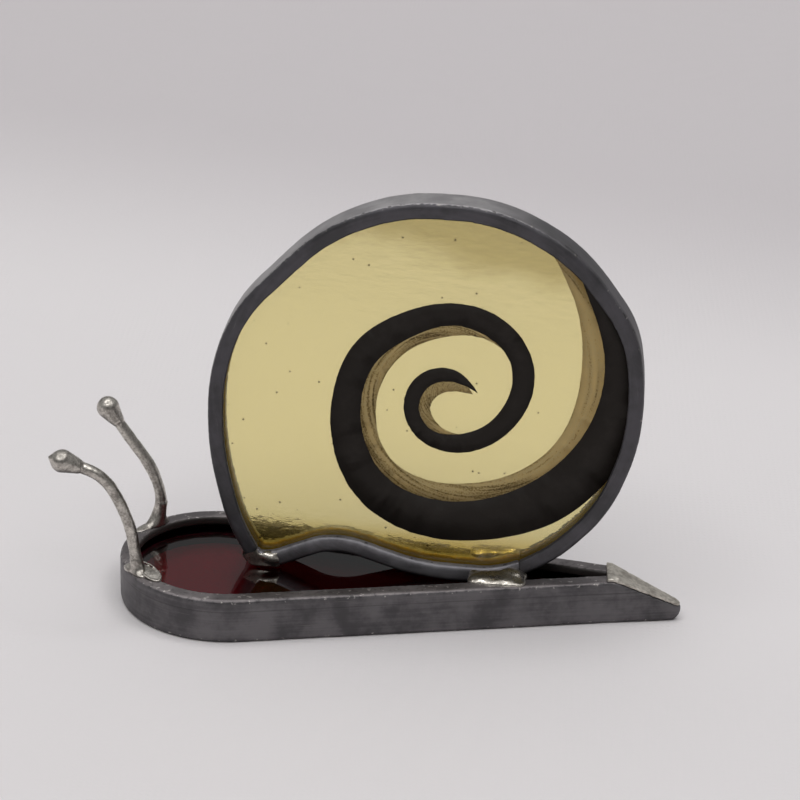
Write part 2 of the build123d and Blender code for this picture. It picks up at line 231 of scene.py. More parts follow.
def addDrop(piece, place, size, turn=(0, 0, 0)):
    # A flattened ball of solder let into a piece; place and size in mm, turn in degrees
    bpy.ops.object.select_all(action="DESELECT")
    bpy.ops.mesh.primitive_uv_sphere_add(
        segments=32, ring_count=20, radius=1, location=Vector(place) * mm,
        rotation=[math.radians(angle) for angle in turn], scale=Vector(size) * mm)
    joinTo(piece, bpy.context.object)


def addRing(piece, place, size, turn):
    # A thin raised lip of solder, as a spill leaves round its edge
    bpy.ops.object.select_all(action="DESELECT")
    bpy.ops.mesh.primitive_torus_add(major_segments=48, minor_segments=12, major_radius=1, minor_radius=0.09,
                                     location=Vector(place) * mm, rotation=[math.radians(angle) for angle in turn])
    ring = bpy.context.object
    ring.scale = Vector(size) * mm
    joinTo(piece, ring)


def cutAway(piece, place, away):
    # Cuts off what lies beyond a plane, and closes the cut
    takeUp(piece)
    bpy.ops.object.mode_set(mode="EDIT")
    bpy.ops.mesh.select_all(action="SELECT")
    bpy.ops.mesh.bisect(plane_co=place, plane_no=away, use_fill=True, clear_outer=True)
    bpy.ops.object.mode_set(mode="OBJECT")


def modify(piece, kind, **settings):
    takeUp(piece)
    modifier = piece.modifiers.new(kind.lower(), kind)
    for name, value in settings.items():
        setattr(modifier, name, value)
    bpy.ops.object.modifier_apply(modifier=modifier.name)


def unevenness(name, size):
    texture = bpy.data.textures.new(name, "CLOUDS")
    texture.noise_scale = size * mm
    texture.noise_depth = 2
    return texture


def workByHand(piece, shape):
    # Softens a machine-made form: fine remesh, rounded edges, then dents of two sizes
    modify(piece, "REMESH", mode="VOXEL", voxel_size=shape["voxel"] * mm, adaptivity=0)
    modify(piece, "SMOOTH", factor=0.5, iterations=shape["rounding"])
    if "swell" in shape:
        modify(piece, "DISPLACE", strength=shape["swell"] * mm, mid_level=0)
    for i, (size, depth) in enumerate(shape["dents"]):
        modify(piece, "DISPLACE", texture=unevenness(piece.name + str(i), size), texture_coords="GLOBAL",
               strength=depth * mm, mid_level=0.5)


def finishPiece(piece, nodes, material):
    piece.data.materials.clear()
    piece.data.materials.append(material)
    takeUp(piece)
    bpy.ops.object.shade_smooth_by_angle(angle=math.radians(60))
    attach(piece, "root")
    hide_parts(*nodes)
    print(piece.name, len(piece.data.polygons), "faces")


def dressNode(node, material):
    # A CAD node whose shape is right keeps its mesh and takes a material
    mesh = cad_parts[node].data
    mesh.materials.clear()
    mesh.materials.append(material)


# Lead came: soft drawn lead under a grey patina. It looks dull and dark, in soft clouds, with a
# border of bright specks where the patina is knocked off and painted shade where it faces down.
# Web and leaf are painted as lit and shaded copies: the faces that look up are painted lighter.
# Inside, where the glass lies in it, the tray is dark patina under painted shade, and the rim
# strips are bare lead painted bright gold as painted light that comes through the amber
trayLook = {
    "web": "#4F4D4F", "webLight": "#737072", "leaf": "#6C6768", "leafLight": "#8F8989", "inside": "#332D2B",
    "scratch": "#8F8B87", "ding": "#C5C0BB", "pit": "#363434", "soot": "#1C1A1A",
    "pits": 0.4, "dings": 0.8, "scratches": 0.3, "under": 0.5,       # how strongly each one shows
    "clouds": (0.36, 0.64), "pitsAt": (0.42, 0.36), "dingsAt": (0.62, 0.7), "scratchesAt": (0.68, 0.8),
    "roughness": (0.42, 0.6), "metallic": 0.8, "insideMetallic": 0,
    "leafAxis": 2, "leafFrom": 3.5, "ragged": 0.15, "border": 0.45,  # mm from the middle of the web
    "ridge": 1.75, "ridgeWidth": 0.16,                               # mm above it
    "darker": None, "round": None,
    "streakAcross": 0.5, "streakAlong": 16, "blotch": 6, "grain": 0.3, "bump": 0.08,         # mm
    "nicksPerMm": 1.1,
}
rimLook = dict(
    trayLook, web="#9A9799", webLight="#B2AFB0", leaf="#464547", leafLight="#58565A", inside="#D6B668",
    scratch="#A5A19D", ding="#B5B0AA", pit="#2E2C2C", pits=0.75, dings=0.5, under=0.9, insideMetallic=0.3,
    leafAxis=1, leafFrom=2.58, ragged=0.18, border=0.3, ridge=None, streakAlong=14, blotch=5,
    darker=(4, 22),                       # mm right of the middle, where the web is painted in the leaf's darker colour as shade
    round=35.8)                           # mm, the ring's radius
bellyLook = dict(rimLook, leaf="#706E72", leafLight="#8F8D91", under=0.6)     # its leaves are painted lighter than the rim's, as painted light on a round bar lit from above
trayShape = {"voxel": 0.26, "rounding": 5, "dents": [(9, 0.16), (2.2, 0.07)]}
rimShape = {"voxel": 0.22, "rounding": 4, "dents": [(8, 0.08), (1.6, 0.06)]}
bellyShape = {"voxel": 0.2, "rounding": 34, "swell": 0.22, "dents": [(8, 0.08), (1.6, 0.04)]}
pinchX = 39.3 * mm                        # where the tray's long sides meet
grooveSide = 1.85 * mm                    # from the middle of the shell's pane to the leaf


def markInside(piece, isInside):
    # A value on each point that tells the faces that look towards the glass
    layer = piece.data.attributes.new("inside", "FLOAT", "POINT")
    for vertex in piece.data.vertices:
        layer.data[vertex.index].value = 1.0 if isInside(vertex.co, vertex.normal) else 0.0


def insideTray(point, normal):
    along = min(max(point.x, trayLow.x + trayHigh.y), pinchX)
    outwards = Vector((point.x - along, point.y, 0)).normalized()
    return normal.dot(outwards) < -0.4


def insideRim(point, normal):
    away = point - shellMiddle
    across = away.y * math.cos(shellTurn) - away.x * math.sin(shellTurn)
    outwards = Vector((away.x, 0, away.z)).normalized()
    return abs(across) < grooveSide and normal.dot(outwards) < 0.3


def leadMaterial(name, look, middle, turn):
    material, tree = startMaterial(name)
    place = objectPlace(tree, middle, turn)
    axes = addNode(tree, "SeparateXYZ", {}, {0: place})

    # Streaks left by the die run along the strip, and round with it where it is bent to a ring
    if look["round"]:
        flat = addNode(tree, "VectorMath", {"operation": "MULTIPLY"}, {0: place, 1: (1, 0, 1)})
        radius = addNode(tree, "VectorMath", {"operation": "LENGTH"}, {0: flat})
        way = addNode(tree, "VectorMath", {"operation": "NORMALIZE"}, {0: flat})
        turns = look["round"] / look["streakAlong"]
        way = addNode(tree, "VectorMath", {"operation": "MULTIPLY"}, {0: way, 1: (turns, 0, turns)})
        side = addNode(tree, "Math", {"operation": "ADD"}, {0: radius, 1: axes.outputs[1]})
        side = addNode(tree, "Math", {"operation": "DIVIDE"}, {0: side, 1: look["streakAcross"]})
        lift = addNode(tree, "CombineXYZ", {}, {1: side})
        streakPlace = addNode(tree, "VectorMath", {"operation": "ADD"}, {0: way, 1: lift})
    else:
        scale = (1 / look["streakAlong"], 1 / look["streakAlong"], 1 / look["streakAcross"])
        streakPlace = addNode(tree, "Mapping", {}, {"Vector": place, "Scale": scale})
    streaks = addNode(tree, "TexNoise", {}, {"Vector": streakPlace, "Scale": 1, "Detail": 4, "Roughness": 0.6})
    blotches = addNode(tree, "TexNoise", {}, {"Vector": place, "Scale": 1 / look["blotch"], "Detail": 5,
                                              "Roughness": 0.6})
    grain = addNode(tree, "TexNoise", {}, {"Vector": place, "Scale": 1 / look["grain"], "Detail": 2})
    nicks = addNode(tree, "TexNoise", {}, {"Vector": place, "Scale": look["nicksPerMm"], "Detail": 3,
                                           "Roughness": 0.6})

    # The border between web and leaf is ragged, with dark pits in it
    fromMiddle = addNode(tree, "Math", {"operation": "ABSOLUTE"}, {0: axes.outputs[look["leafAxis"]]})
    ragged = addNode(tree, "MapRange", {}, {0: nicks, 1: 0.3, 2: 0.7, 3: -look["ragged"], 4: look["ragged"]})
    border = addNode(tree, "Math", {"operation": "ADD"}, {0: fromMiddle, 1: ragged})
    leaf = addNode(tree, "MapRange", smoothStep,
                   {0: border, 1: look["leafFrom"] - 0.12, 2: look["leafFrom"] + 0.12})
    clouds = addNode(tree, "Math", {"operation": "MULTIPLY"}, {0: streaks, 1: 0.2})
    clouds = addNode(tree, "Math", {"operation": "MULTIPLY_ADD"}, {0: blotches, 1: 0.8, 2: clouds})
    clouds = addNode(tree, "MapRange", smoothStep, {0: clouds, 1: look["clouds"][0], 2: look["clouds"][1]})
    webColour = addNode(tree, "Mix", ofColours,
                        {0: clouds, 6: linear(look["web"]), 7: linear(look["webLight"])})
    leafColour = addNode(tree, "Mix", ofColours,
                         {0: clouds, 6: linear(look["leaf"]), 7: linear(look["leafLight"])})
    # Painted shade: right of the middle the web takes the leaf's darker colour
    if look["darker"]:
        darker = addNode(tree, "MapRange", smoothStep,
                         {0: axes.outputs[0], 1: look["darker"][0], 2: look["darker"][1], 4: 0.9})
        leaf = addNode(tree, "Math", {"operation": "MAXIMUM"}, {0: leaf, 1: darker})
    # Web and leaf differ as painted light: faces that look up are painted lighter than upright faces
    colour = addNode(tree, "Mix", ofColours, {0: leaf, 6: webColour, 7: leafColour})

    # Pits and dings lie along the border; scratches and the mill's ridge run along the web
    edge = addNode(tree, "Math", {"operation": "SUBTRACT"}, {0: fromMiddle, 1: look["leafFrom"]})
    edge = addNode(tree, "Math", {"operation": "ABSOLUTE"}, {0: edge})
    edge = addNode(tree, "MapRange", smoothStep, {0: edge, 1: look["border"], 2: look["border"] * 0.5})
    pits = addNode(tree, "MapRange", smoothStep,
                   {0: nicks, 1: look["pitsAt"][0], 2: look["pitsAt"][1], 4: look["pits"]})
    pits = addNode(tree, "Math", {"operation": "MULTIPLY"}, {0: pits, 1: edge})
    colour = addNode(tree, "Mix", ofColours, {0: pits, 6: colour, 7: linear(look["pit"])})
    scratches = addNode(tree, "TexNoise", {}, {"Vector": streakPlace, "Scale": 2.8, "Detail": 2})
    scratches = addNode(tree, "MapRange", smoothStep, {0: scratches, 1: look["scratchesAt"][0],
                                                       2: look["scratchesAt"][1], 4: look["scratches"]})
    colour = addNode(tree, "Mix", ofColours, {0: scratches, 6: colour, 7: linear(look["scratch"])})
    height = addNode(tree, "Math", {"operation": "MULTIPLY_ADD"}, {0: streaks, 1: 0.18, 2: blotches})
    height = addNode(tree, "Math", {"operation": "MULTIPLY_ADD"}, {0: grain, 1: 0.2, 2: height})
    if look["ridge"]:
        ridge = addNode(tree, "Math", {"operation": "SUBTRACT"}, {0: axes.outputs[2], 1: look["ridge"]})
        ridge = addNode(tree, "Math", {"operation": "ABSOLUTE"}, {0: ridge})
        ridge = addNode(tree, "MapRange", smoothStep, {0: ridge, 1: 0, 2: look["ridgeWidth"], 3: 0.35, 4: 0})
        colour = addNode(tree, "Mix", ofColours, {0: ridge, 6: colour, 7: linear(look["pit"])})
        height = addNode(tree, "Math", {"operation": "MULTIPLY_ADD"}, {0: ridge, 1: -0.8, 2: height})
    dings = addNode(tree, "TexNoise", {}, {"Vector": place, "Scale": 1.2, "Detail": 3})
    dings = addNode(tree, "MapRange", smoothStep,
                    {0: dings, 1: look["dingsAt"][0], 2: look["dingsAt"][1], 4: look["dings"]})
    dings = addNode(tree, "Math", {"operation": "MULTIPLY"}, {0: dings, 1: edge})
    colour = addNode(tree, "Mix", ofColours, {0: dings, 6: colour, 7: linear(look["ding"])})

    # Painted shade darkens the faces that look down
    normal = addNode(tree, "SeparateXYZ", {}, {0: addNode(tree, "NewGeometry").outputs["Normal"]})
    under = addNode(tree, "MapRange", smoothStep, {0: normal.outputs[2], 1: -0.1, 2: -0.7, 4: look["under"]})
    colour = addNode(tree, "Mix", ofColours, {0: under, 6: colour, 7: linear(look["soot"])})
    # Faces towards the glass: on the tray painted shade over dark patina, on the rim strips bare lead painted
    # bright gold as painted light through the amber
    inside = addNode(tree, "Attribute", {"attribute_name": "inside"}).outputs["Fac"]
    colour = addNode(tree, "Mix", ofColours, {0: inside, 6: colour, 7: linear(look["inside"])})

    rough = addNode(tree, "MapRange", {}, {0: blotches, 1: 0.3, 2: 0.7,
                                           3: look["roughness"][0], 4: look["roughness"][1]})
    metal = addNode(tree, "MapRange", {}, {0: inside, 3: look["metallic"], 4: look["insideMetallic"]})
    bump = addNode(tree, "Bump", {}, {"Strength": 1.0, "Distance": look["bump"] * mm, "Height": height})
    shader = addNode(tree, "BsdfPrincipled", {}, {"Base Color": colour, "Metallic": metal,
                                                  "Roughness": rough, "Normal": bump})
    addNode(tree, "OutputMaterial", {}, {"Surface": shader})
    return material


def buildLead():
    trayMiddle = Vector((0, 0, (trayLow.z + trayHigh.z) / 2))
    tray = copyNode("tray_came", "trayCame")
    workByHand(tray, trayShape)
    markInside(tray, insideTray)
    finishPiece(tray, ["tray_came"], leadMaterial("trayLead", trayLook, trayMiddle, 0))
    for node, name, shape, look in (("shell_came", "shellCame", rimShape, rimLook),
                                    ("belly_came", "bellyCame", bellyShape, bellyLook)):
        rim = copyNode(node, name)
        workByHand(rim, shape)
        markInside(rim, insideRim)
        finishPiece(rim, [node], leadMaterial(name + "Lead", look, shellMiddle, shellTurn))


# Solder: tin-lead melted on by iron. It looks like soft bright metal, in patches: nearly a mirror where
# it froze last, dull grey where flux stayed, with painted shade below. The seats and the wire's thin coat are
# duller, and the tail was wiped matt with a coarse grain
solderLook = {
    "bright": "#EAE4DA", "dull": "#B4AEA5", "roughness": (0.22, 0.42), "brightAt": (0.36, 0.62),
    "patch": 1.6, "grain": 0.35, "bump": 0.06,                # mm
    "soot": "#1E1C1B", "sootFrom": 0.15, "sootTo": -0.25,     # how far up a face still looks when the painted shade starts
}
seatLook = dict(solderLook, bright="#D2CCC2", dull="#9C978F", sootFrom=-0.2, sootTo=-0.8)
tailLook = dict(seatLook, bright="#DCD6CC", dull="#A6A097", roughness=(0.38, 0.6), patch=2.6, grain=0.8, bump=0.04)
wireLook = dict(seatLook, bright="#CBC6BE", dull="#8F8A84", roughness=(0.26, 0.4), patch=1.4, grain=0.32, bump=0.04)


def solderMaterial(name, look):
    material, tree = startMaterial(name)
    place = objectPlace(tree)
    patches = addNode(tree, "TexNoise", {}, {"Vector": place, "Scale": 1 / look["patch"], "Detail": 4,
                                             "Roughness": 0.6})
    grain = addNode(tree, "TexNoise", {}, {"Vector": place, "Scale": 1 / look["grain"], "Detail": 3})
    mixed = addNode(tree, "Math", {"operation": "MULTIPLY"}, {0: grain, 1: 0.4})
    mixed = addNode(tree, "Math", {"operation": "MULTIPLY_ADD"}, {0: patches, 1: 0.6, 2: mixed})
    share = addNode(tree, "MapRange", smoothStep, {0: mixed, 1: look["brightAt"][0], 2: look["brightAt"][1]})
    colour = addNode(tree, "Mix", ofColours, {0: share, 6: linear(look["dull"]), 7: linear(look["bright"])})
    # Painted shade on the faces that look down
    normal = addNode(tree, "SeparateXYZ", {}, {0: addNode(tree, "NewGeometry").outputs["Normal"]})
    under = addNode(tree, "MapRange", smoothStep,
                    {0: normal.outputs[2], 1: look["sootFrom"], 2: look["sootTo"], 4: 0.9})
    colour = addNode(tree, "Mix", ofColours, {0: under, 6: colour, 7: linear(look["soot"])})
    rough = addNode(tree, "MapRange", {}, {0: mixed, 1: 0.35, 2: 0.65,
                                           3: look["roughness"][1], 4: look["roughness"][0]})
    bump = addNode(tree, "Bump", {}, {"Strength": 1.0, "Distance": look["bump"] * mm, "Height": mixed})
    shader = addNode(tree, "BsdfPrincipled", {}, {"Base Color": colour, "Metallic": 1.0, "Roughness": rough,
                                                  "Normal": bump})
    addNode(tree, "OutputMaterial", {}, {"Surface": shader})
    return material


# Worked shapes: fine mesh, rounding passes, swelling, and dents as (size, depth), in mm
tailShape = {"voxel": 0.14, "rounding": 8, "dents": [(1.6, 0.16), (0.6, 0.05)]}
cornerShape = {"voxel": 0.14, "rounding": 14, "swell": -0.14, "dents": [(2.0, 0.14), (0.7, 0.04)]}
seatShape = {"voxel": 0.16, "rounding": 60, "swell": 0.25, "dents": [(2.4, 0.3), (0.8, 0.06)]}
farSeatShape = dict(seatShape, rounding=240, swell=0.5)
antennaShape = {"voxel": 0.11, "rounding": 18, "swell": 0.05, "dents": [(3.0, 0.22), (0.9, 0.06)]}

# Solder that ran out a little further than its joint: place, size in mm and turn in degrees
seatDrops = [((20.6, -4.2, 7.4), (4.4, 2.35, 1.0), (0, 0, 0)), ((22.9, -3.0, 8.0), (1.8, 1.5, 0.7), (0, 0, 0))]
seatTop = (Vector((20.6, -1.4, 7.7)) * mm, Vector((0, 0, 1)))             # the near seat was wiped down to here
cornerDrops = [((-16.6, 0.3, 5.95), (2.9, 0.9, 0.35), (0, 0, 0)),
               ((-16.2, 0.2, 7.2), (1.9, 1.1, 1.2), (0, 20, 0))]
tailDrops = [((39.7, -1.9, 7.5), (0.9, 0.7, 0.5), (0, 0, 0))]
frontFootDrops = [((-35.0, -8.4, 7.7), (3.0, 1.3, 0.3), (0, 6, -52)),
                  ((-37.9, -7.2, 7.9), (1.3, 1.0, 0.7), (0, 0, 0))]
frontFootRing = ((-35.0, -8.4, 8.05), (2.9, 1.3, 1.2), (0, 8, -52))
backFootDrops = [((-37.7, 8.5, 7.45), (2.6, 1.0, 0.3), (0, 0, 52))]
# The corner sleeve's two ends: a point on each, and the way along the strip
cornerEnds = [(Vector((-19.75, 0, 8.15)) * mm, Vector((-0.44, 0, 0.9))),
              (Vector((-14.75, 0, 7)) * mm, Vector((1, 0, 0)))]
stubOver = 0.6 * mm                       # how far the strips' stubs in it first reach past its ends
# Where its proud upper corner on the near side was wiped off
cornerWipes = [(Vector((-20.86, 0, 8)) * mm, Vector((-1, -1, 0))),
               (Vector((-19.75, -0.05, 8.15)) * mm, Vector((-0.31, -0.7, 0.63)))]
neckLength = 3.2 * mm                     # from a bead's tip to the end of its neck


def neckEnd(wire, bead):
    # Where a bead's neck ends on its wire, and the way from the bead to there
    tip = min(wire.data.vertices, key=lambda vertex: vertex.co.x).co
    far = [vertex.co for vertex in bead.data.vertices if (vertex.co - tip).length > neckLength]
    middle = sum(far, Vector()) / len(far)
    return middle, (middle - tip).normalized()


def buildAntenna(end, drops, material):
    # Wire, bead and foot are fused and worked as one, then cut apart, so that no step shows
    wireNode, beadNode, footNode = [end + "_antenna_" + part for part in ("wire", "bead", "solder")]
    whole = copyNode(wireNode, end + "Antenna")
    bead = copyNode(beadNode, "bead")
    foot = copyNode(footNode, "foot")
    neck, way = neckEnd(whole, bead)
    ankle = Vector((0, 0, max(vertex.co.z for vertex in foot.data.vertices)))
    up = Vector((0, 0, 1))
    joinTo(whole, bead)
    joinTo(whole, foot)
    for place, size, turn in drops:
        addDrop(whole, place, size, turn)
    if end == "front":
        addRing(whole, *frontFootRing)
    workByHand(whole, antennaShape)
    for node, name, slot, cuts in ((wireNode, "Wire", "tinned_wire", ((neck, -way), (ankle, -up))),
                                   (beadNode, "Bead", "solder", ((neck, way),)),
                                   (footNode, "Foot", "solder", ((ankle, up),))):
        piece = bpy.data.objects.new(end + name, whole.data.copy())
        bpy.context.scene.collection.objects.link(piece)
        for place, away in cuts:
            cutAway(piece, place, away)
        finishPiece(piece, [node], material)
    bpy.data.objects.remove(whole)


def buildSolder():
    solder = solderMaterial("tinLeadSolder", solderLook)
    seat = solderMaterial("dullSeatSolder", seatLook)
    tail = solderMaterial("mattTailSolder", tailLook)
    coated = solderMaterial("solderCoatedWire", wireLook)
    for node, name, shape, drops, material in (
            ("corner_solder", "cornerSolder", cornerShape, cornerDrops, solder),
            ("near_seat_solder", "nearSeatSolder", seatShape, seatDrops, seat),
            ("far_seat_solder", "farSeatSolder", farSeatShape, [], seat),
            ("tail_solder", "tailSolder", tailShape, tailDrops, tail)):
        piece = copyNode(node, name)
        if node == "near_seat_solder":
            cutAway(piece, *seatTop)
        for place, size, turn in drops:
            addDrop(piece, place, size, turn)
        if node == "corner_solder":
            # Short stubs of both strips fill the thin sleeve, so that it stays whole when it is worked
            for strip in ("shell_came", "belly_came"):
                stub = copyNode(strip, "stub")
                for place, away in cornerEnds:
                    cutAway(stub, place + away * stubOver, away)
                joinTo(piece, stub)
        workByHand(piece, shape)
        if node == "corner_solder":
            for place, away in cornerEnds + cornerWipes:
                cutAway(piece, place, away)
            modify(piece, "SMOOTH", factor=0.5, iterations=14)
        finishPiece(piece, [node], material)
    buildAntenna("front", frontFootDrops, coated)
    buildAntenna("back", backFootDrops, coated)


# Ruby cathedral glass: flat and polished, so it mirrors the shell and shows deep red where light comes up
# through it. Amber antique glass: clear warm yellow with ripples and a few seeds, which are drawn a
# little larger than real. The red is painted darker towards the tail as painted shade, and the amber is
# painted darker towards its top as painted shade; the amber is also more golden towards its belly
rubyLook = {
    "colour": "#A3183F", "clear": 1.0, "edge": "#0B0606", "across": (0, 0, 1),
    # The deep colour is painted shade, where the shell's shadow falls on the floor under the red glass
    "deep": "#680E13", "deepWay": (1, 0, 0), "deepFrom": -31, "deepTo": -26,      # mm from the shell's middle
    "deepWaver": 3,
    "wave": 9, "waveHeight": 0.01,
}
amberLook = {
    "colour": "#FFF1AE", "clear": 0.9, "edge": "#2A2110", "across": (0, 1, 0), "mirrored": 0.85,
    # The deep colour at the top is painted shade; the low colour makes the belly more golden
    "deep": "#DCCB84", "deepWay": (0.2, 0, 1), "deepFrom": 20, "deepTo": 27, "deepWaver": 10,
    "low": "#E2C254", "lowFrom": -23, "lowTo": -29,
    "wave": 9, "waveHeight": 0.04, "ripple": (2.4, 1.0, 1.0), "rippleHeight": 0.13,            # mm
    "seedEvery": 2.8, "seedSize": 0.26, "seed": "#3E3014",
}
glassIOR = 1.52


def glassMaterial(name, look):
    material, tree = startMaterial(name)
    place = objectPlace(tree, shellMiddle, shellTurn)
    axes = addNode(tree, "SeparateXYZ", {}, {0: place})
    waves = addNode(tree, "TexNoise", {}, {"Vector": place, "Scale": 1 / look["wave"], "Detail": 2})
    normal = addNode(tree, "Bump", {}, {"Strength": 1.0, "Distance": look["waveHeight"] * mm, "Height": waves})

    # Painted shade: past a wavering line the colour darkens, towards the ruby's tail and the amber's top
    along = addNode(tree, "VectorMath", {"operation": "DOT_PRODUCT"}, {0: place, 1: look["deepWay"]})
    along = addNode(tree, "Math", {"operation": "MULTIPLY_ADD"}, {0: waves, 1: look["deepWaver"], 2: along})
    halfWaver = look["deepWaver"] / 2
    deep = addNode(tree, "MapRange", smoothStep,
                   {0: along, 1: look["deepFrom"] + halfWaver, 2: look["deepTo"] + halfWaver})
    colour = addNode(tree, "Mix", ofColours, {0: deep, 6: linear(look["colour"]), 7: linear(look["deep"])})
    # A shadow ray crosses two faces, so each one takes the root of the colour
    shadow = addNode(tree, "Gamma", {}, {"Color": colour, "Gamma": 0.5})

    if "ripple" in look:
        # Towards its belly the amber turns more golden
        low = addNode(tree, "MapRange", smoothStep, {0: axes.outputs[2], 1: look["lowFrom"], 2: look["lowTo"]})
        colour = addNode(tree, "Mix", ofColours, {0: low, 6: colour, 7: linear(look["low"])})
        stretched = addNode(tree, "Mapping", {}, {"Vector": place, "Scale": [1 / size for size in look["ripple"]]})
        ripples = addNode(tree, "TexNoise", {}, {"Vector": stretched, "Scale": 1, "Detail": 3})
        normal = addNode(tree, "Bump", {}, {"Strength": 1.0, "Distance": look["rippleHeight"] * mm,
                                            "Height": ripples, "Normal": normal})
        # Seeds are laid out on the near face alone
        flat = addNode(tree, "CombineXYZ", {}, {0: axes.outputs[0], 1: axes.outputs[2]})
        seeds = addNode(tree, "TexVoronoi", {}, {"Vector": flat, "Scale": 1 / look["seedEvery"]})
        size = look["seedSize"] / look["seedEvery"]
        seeds = addNode(tree, "MapRange", {}, {0: seeds, 1: size, 2: size * 0.4})
        near = addNode(tree, "Math", {"operation": "LESS_THAN"}, {0: axes.outputs[1], 1: 0})
        seeds = addNode(tree, "Math", {"operation": "MULTIPLY"}, {0: seeds, 1: near})
        colour = addNode(tree, "Mix", ofColours, {0: seeds, 6: colour, 7: linear(look["seed"])})
    surface = addNode(tree, "BsdfPrincipled", {}, {"Base Color": colour, "Roughness": 0.01, "IOR": glassIOR,
                                                   "Transmission Weight": look["clear"], "Normal": normal})

    # Light passes straight on, less what a slanted ray loses by reflection
    fresnel = addNode(tree, "Fresnel", {}, {"IOR": glassIOR})
    tint = addNode(tree, "Mix", ofColours, {0: fresnel, 6: shadow, 7: (0, 0, 0, 1)})
    clear = addNode(tree, "BsdfTransparent", {}, {"Color": tint})
    rays = addNode(tree, "LightPath")
    straight = addNode(tree, "Math", {"operation": "MAXIMUM"},
                       {0: rays.outputs["Is Shadow Ray"], 1: rays.outputs["Is Diffuse Ray"]})
    surface = addNode(tree, "MixShader", {}, {0: straight, 1: surface, 2: clear})
    if "mirrored" in look:
        # The pane is dim in the polished things that mirror it
        dim = addNode(tree, "BsdfDiffuse", {}, {"Color": linear(look["edge"])})
        share = addNode(tree, "Math", {"operation": "SUBTRACT", "use_clamp": True},
                        {0: rays.outputs["Is Glossy Ray"], 1: rays.outputs["Is Transmission Ray"]})
        share = addNode(tree, "Math", {"operation": "MULTIPLY"}, {0: share, 1: look["mirrored"]})
        surface = addNode(tree, "MixShader", {}, {0: share, 1: surface, 2: dim})

    # The cut edge is rough and black with putty
    facing = addNode(tree, "NewGeometry").outputs["True Normal"]
    facing = addNode(tree, "VectorRotate", {"rotation_type": "Z_AXIS"}, {"Vector": facing, "Angle": -shellTurn})
    facing = addNode(tree, "VectorMath", {"operation": "DOT_PRODUCT"}, {0: facing, 1: look["across"]})
    facing = addNode(tree, "Math", {"operation": "ABSOLUTE"}, {0: facing})
    cut = addNode(tree, "Math", {"operation": "LESS_THAN"}, {0: facing, 1: 0.7})
    putty = addNode(tree, "BsdfDiffuse", {}, {"Color": linear(look["edge"])})
    surface = addNode(tree, "MixShader", {}, {0: cut, 1: surface, 2: putty})
    addNode(tree, "OutputMaterial", {}, {"Surface": surface})
    return material


# Glass paint: ground glass and iron oxide fired onto the pane. The trace paint is solid matt black with a
# faint mottle. The shading is warm brown in fine brush streaks and specks, so thin that light comes by
blackLook = {"colour": "#24201D", "light": "#2A2623", "roughness": (0.5, 0.65), "shine": 0.14, "gritHeight": 0.015}
brownLook = {
    "light": "#D0BF90", "colour": "#9A8554", "dark": "#4A3B20", "clear": "#D8C69A",
    "spiralMiddle": (4.8, 0, 0.85), "growth": 0.165, "start": 1.07,      # mm, and how the spiral's radius grows
    "streakAcross": 0.03, "streakAlong": 0.8,
    "speckle": 0.32, "blotchesPerMm": 0.35,                              # mm
    "streaks": 0.58, "speckles": 0.37, "blotches": 0.05,                 # share of each in the tone
    "lightAt": (0.47, 0.58), "darkAt": (0.5, 0.41), "coverAt": (0.42, 0.58), "leastCover": 0.45,
    "thinFrom": 14, "thinTo": 24, "thinLift": 0.07,      # mm right of the middle, where it was brushed thinner
}
paintNicks = {"size": 0.7, "depth": 0.22}                # mm; the brush's edge is not clean


def blackPaint(look):
    material, tree = startMaterial("blackTracePaint")
    place = objectPlace(tree, shellMiddle, shellTurn)
    mottle = addNode(tree, "TexNoise", {}, {"Vector": place, "Scale": 0.3, "Detail": 5, "Roughness": 0.65})
    share = addNode(tree, "MapRange", smoothStep, {0: mottle, 1: 0.45, 2: 0.7})
    colour = addNode(tree, "Mix", ofColours, {0: share, 6: linear(look["colour"]), 7: linear(look["light"])})
    rough = addNode(tree, "MapRange", {}, {0: mottle, 1: 0.3, 2: 0.7,
                                           3: look["roughness"][0], 4: look["roughness"][1]})
    grit = addNode(tree, "TexNoise", {}, {"Vector": place, "Scale": 2.5, "Detail": 2})
    bump = addNode(tree, "Bump", {}, {"Strength": 1.0, "Distance": look["gritHeight"] * mm, "Height": grit})
    shader = addNode(tree, "BsdfPrincipled", {}, {"Base Color": colour, "Roughness": rough,
                                                  "Specular IOR Level": look["shine"], "Normal": bump})
    addNode(tree, "OutputMaterial", {}, {"Surface": shader})
    return material


